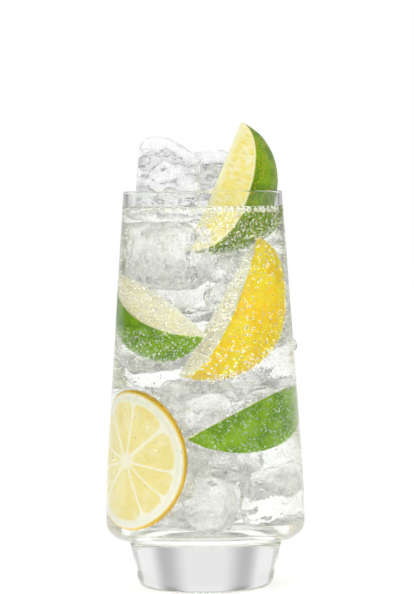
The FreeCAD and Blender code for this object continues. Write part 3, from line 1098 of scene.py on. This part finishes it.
def hold_inside(mesh):
    """Melts a block back wherever it would pass through the wall, the floor or the surface."""
    places = read_skin(mesh)[0] / MM
    for spot in places:
        spot[2] = min(max(spot[2], FLOOR_HEIGHT + ICE_OFF_FLOOR), DRINK_LEVEL - ICE_UNDER_LEVEL)
        reach = math.hypot(spot[0], spot[1])
        room = wall_radius(spot[2]) - ICE_OFF_WALL
        if reach > room:
            spot[:2] *= room / reach
    write_places(mesh, places * MM)


ICE_LAYERS = 7
ICE_LOWEST = 35.0
ICE_HIGHEST = 134.0
ICE_CLEAR_OF_FRUIT = 9.0
ICE_OFF_AXIS = 4
ICE_FROM_WALL = 15.5
LAYER_TURN = 38
TURN_PLAY = 12
HEIGHT_PLAY = 3
ICE_SIDES = (21, 26)
ICE_ROUND = 4.5
ICE_TILT = 25


def find_ice_places(rng):
    """Middles for the blocks, in layers of four round one, clear of the fruit."""
    fruit = KDTree(sum(len(skin.data.vertices) for skin in skins.values()))
    count = 0
    for skin in skins.values():
        for vertex in skin.data.vertices:
            fruit.insert(vertex.co, count)
            count += 1
    fruit.balance()
    places = []
    for layer in range(ICE_LAYERS):
        height = ICE_LOWEST + (ICE_HIGHEST - ICE_LOWEST) * layer / (ICE_LAYERS - 1)
        for step in range(5):
            turn = math.radians(90 * step + LAYER_TURN * layer + rng.uniform(-TURN_PLAY, TURN_PLAY))
            reach = wall_radius(height) - ICE_FROM_WALL if step < 4 else ICE_OFF_AXIS
            up = height + rng.uniform(-HEIGHT_PLAY, HEIGHT_PLAY)
            spot = Vector((reach * math.cos(turn), reach * math.sin(turn), up))
            if fruit.find(spot * MM)[2] > ICE_CLEAR_OF_FRUIT * MM:
                places.append(spot)
    return places


rng = random.Random(11)
for number, middle in enumerate(find_ice_places(rng), start=1):
    sides = [rng.uniform(*ICE_SIDES) for _ in range(3)]
    block = ice_mesh("sunk_ice_%d" % number, sides, ICE_ROUND, number)
    stand = Matrix.Translation(middle * MM)
    for axis in "ZYX":
        stand @= Matrix.Rotation(math.radians(rng.uniform(-ICE_TILT, ICE_TILT)), 4, axis)
    stand @= Matrix.Rotation(math.atan2(middle.y, middle.x), 4, "Z")
    block.transform(stand @ Matrix.Diagonal((MM, MM, MM, 1)))
    hold_inside(block)
    add_piece("sunk_ice_%d" % number, block, sunk_ice_finish, "ice")

# %% [markdown]
# ## Bubbles
#
# Gas clings to rough skin as beads, and larger bubbles gather where the surface meets the wall. Each
# bubble is a small ball of its own. Light leaves the liquid into it, so its finish bends light the other
# way from glass. A share of plain white is mixed in, because a crowd of beads reads pale. Thousands of
# objects would be slow to handle, so all the beads of one fruit are joined in one mesh, and the smallest
# have the fewest faces.

# %% Blow bubbles
gas = Finish("gas", Roughness=0.0, IOR=0.75)
gas.set("Base Color", (1, 1, 1, 1))
gas.set("Transmission Weight", 0.6)


def ball(subdivisions):
    """The vertices and faces of a ball of radius 1."""
    work = bmesh.new()
    bmesh.ops.create_icosphere(work, subdivisions=subdivisions, radius=1.0)
    vertices = np.array([tuple(v.co) for v in work.verts])
    faces = np.array([[v.index for v in f.verts] for f in work.faces])
    work.free()
    return vertices, faces


SMALL_BEAD = 0.26
small_ball, large_ball = ball(1), ball(2)


def blow(name, spots):
    """One piece made of many bubbles. A spot is a place in metres and a radius in millimetres."""
    vertices, faces, count = [], [], 0
    for place, radius in spots:
        ball_vertices, ball_faces = small_ball if radius < SMALL_BEAD else large_ball
        vertices.append(ball_vertices * radius * MM + np.array(place))
        faces.append(ball_faces + count)
        count += len(ball_vertices)
    mesh = bpy.data.meshes.new(name)
    mesh.from_pydata(np.concatenate(vertices).tolist(), [], np.concatenate(faces).tolist())
    add_piece(name, mesh, gas.material, "drink")


print("small beads have %d faces, large ones %d" % (len(small_ball[1]), len(large_ball[1])))

# %% [markdown]
# Beads sit on the skin and sink a little into it. Most of them are small and few are large. Picking
# random vertices is enough, since the skins are meshed evenly. A bead that would stand above the level
# or in the wall is passed over, and another is picked.

# %% Bead the fruit
SMALLEST_BEAD = 0.12
BEAD_UNDER_LEVEL = 1.5
BEAD_OFF_WALL = 0.05
BEAD_STANDS_OUT = 0.8


def bead_spots(name, count, smallest, largest, rng):
    """Spots on the outside of a piece of fruit, where gas clings."""
    mesh = skins[name].data
    spots = []
    while len(spots) < count:
        vertex = mesh.vertices[rng.randrange(len(mesh.vertices))]
        if vertex.co.z > (DRINK_LEVEL - BEAD_UNDER_LEVEL) * MM:
            continue
        radius = smallest + (largest - smallest) * rng.random() ** 3
        spot = vertex.co + vertex.normal * radius * BEAD_STANDS_OUT * MM
        if math.hypot(spot.x, spot.y) / MM + radius > wall_radius(spot.z / MM) - BEAD_OFF_WALL:
            continue
        spots.append((tuple(spot), radius))
    return spots


rng = random.Random(4)
BEADS = (
    ("lime_wedge_top", 1900, 0.45),
    ("lemon_wedge", 2400, 0.65),
    ("lime_wedge_left", 3200, 0.42),
    ("lime_wedge_right", 3000, 0.38),
    ("lemon_slice", 350, 0.30),
)
for name, count, largest in BEADS:
    blow("beads_on_" + name, bead_spots(name, count, SMALLEST_BEAD, largest, rng))

# %% [markdown]
# Fine beads also cling to the inside of the glass, everywhere between the floor's round corner and the
# level. Each is pressed into the wall by a tenth of its radius, as a real bubble is flattened there.

# %% Bead the wall
WALL_BEADS = 1600
WALL_BEADS_FROM = 32
WALL_BEADS_UNDER_LEVEL = 3
WALL_BEAD_STANDS_OUT = 0.9


def wall_spots(count, rng):
    spots = []
    for _ in range(count):
        height = rng.uniform(WALL_BEADS_FROM, DRINK_LEVEL - WALL_BEADS_UNDER_LEVEL)
        heading_there = rng.uniform(0, math.tau)
        radius = 0.13 + 0.3 * rng.random() ** 4
        reach = wall_radius(height) - radius * WALL_BEAD_STANDS_OUT
        place = (reach * math.sin(heading_there), -reach * math.cos(heading_there), height)
        spots.append((tuple(Vector(place) * MM), radius))
    return spots


blow("beads_on_wall", wall_spots(WALL_BEADS, rng))

# %% [markdown]
# Round the level the bubbles line the wall and nearly touch one another. They are larger at the right
# of the front, before the wedge, where gas has gathered.

# %% Ring the surface with bubbles
LARGE_FROM, LARGE_TO = 8, 75
LARGE_BUBBLE = (0.9, 1.3)
PLAIN_BUBBLE = (0.25, 0.7)
BUBBLE_GAP = (0.05, 0.5)


def ring_spots(rng):
    spots = []
    heading = 0.0
    while heading < math.tau:
        front_right = LARGE_FROM < math.degrees(heading) < LARGE_TO
        radius = rng.uniform(*(LARGE_BUBBLE if front_right else PLAIN_BUBBLE))
        reach = wall_radius(DRINK_LEVEL) - radius - 0.1
        height = DRINK_LEVEL - radius * 0.55
        place = (reach * math.sin(heading), -reach * math.cos(heading), height)
        spots.append((tuple(c * MM for c in place), radius))
        heading += (2 * radius + rng.uniform(*BUBBLE_GAP)) / reach
    return spots


blow("surface_bubbles", ring_spots(rng))

# %% [markdown]
# A cold glass sweats. One drop hangs on the outside at the right: a ball drawn long, narrower at the
# top, and set a little way into the wall so that it seems to wet it.

# %% Hang a drop on the outside
DROP_HEIGHT = 96.0
DROP_RADIUS = 1.7
DROP_LENGTH = 2.4
DROP_INTO_WALL = 0.6
DROP_NARROWS = 0.25


def hang_drop():
    """A drop of water that clings to the outside of the wall at the right."""
    vertices, faces = ball(4)
    reach = wall_radius(DROP_HEIGHT) + BELLY_WALL - DROP_INTO_WALL
    places = vertices * (DROP_RADIUS, DROP_RADIUS, DROP_LENGTH)
    places[:, :2] *= 1 - DROP_NARROWS * np.clip(vertices[:, 2:3], 0, 1)
    mesh = bpy.data.meshes.new("outside_drop")
    mesh.from_pydata(((places + (reach, 0, DROP_HEIGHT)) * MM).tolist(), [], faces.tolist())
    add_piece("outside_drop", mesh, clear_drink.material, "drink")


hang_drop()

# %% [markdown]
# Last comes how light is followed. It has to pass glass, drink and ice, and pass them again on its way
# out, so it may turn many times, or the rim and the inside grow dark. The filter that smooths the light
# of shiny things is turned off, because it dims what is seen through several clear layers.

# %% Set how light is followed
BOUNCES = 64

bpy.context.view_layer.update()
scene = bpy.context.scene
scene.view_settings.view_transform = "Standard"
scene.cycles.max_bounces = BOUNCES
scene.cycles.transmission_bounces = BOUNCES
scene.cycles.glossy_bounces = BOUNCES
scene.cycles.blur_glossy = 0.0
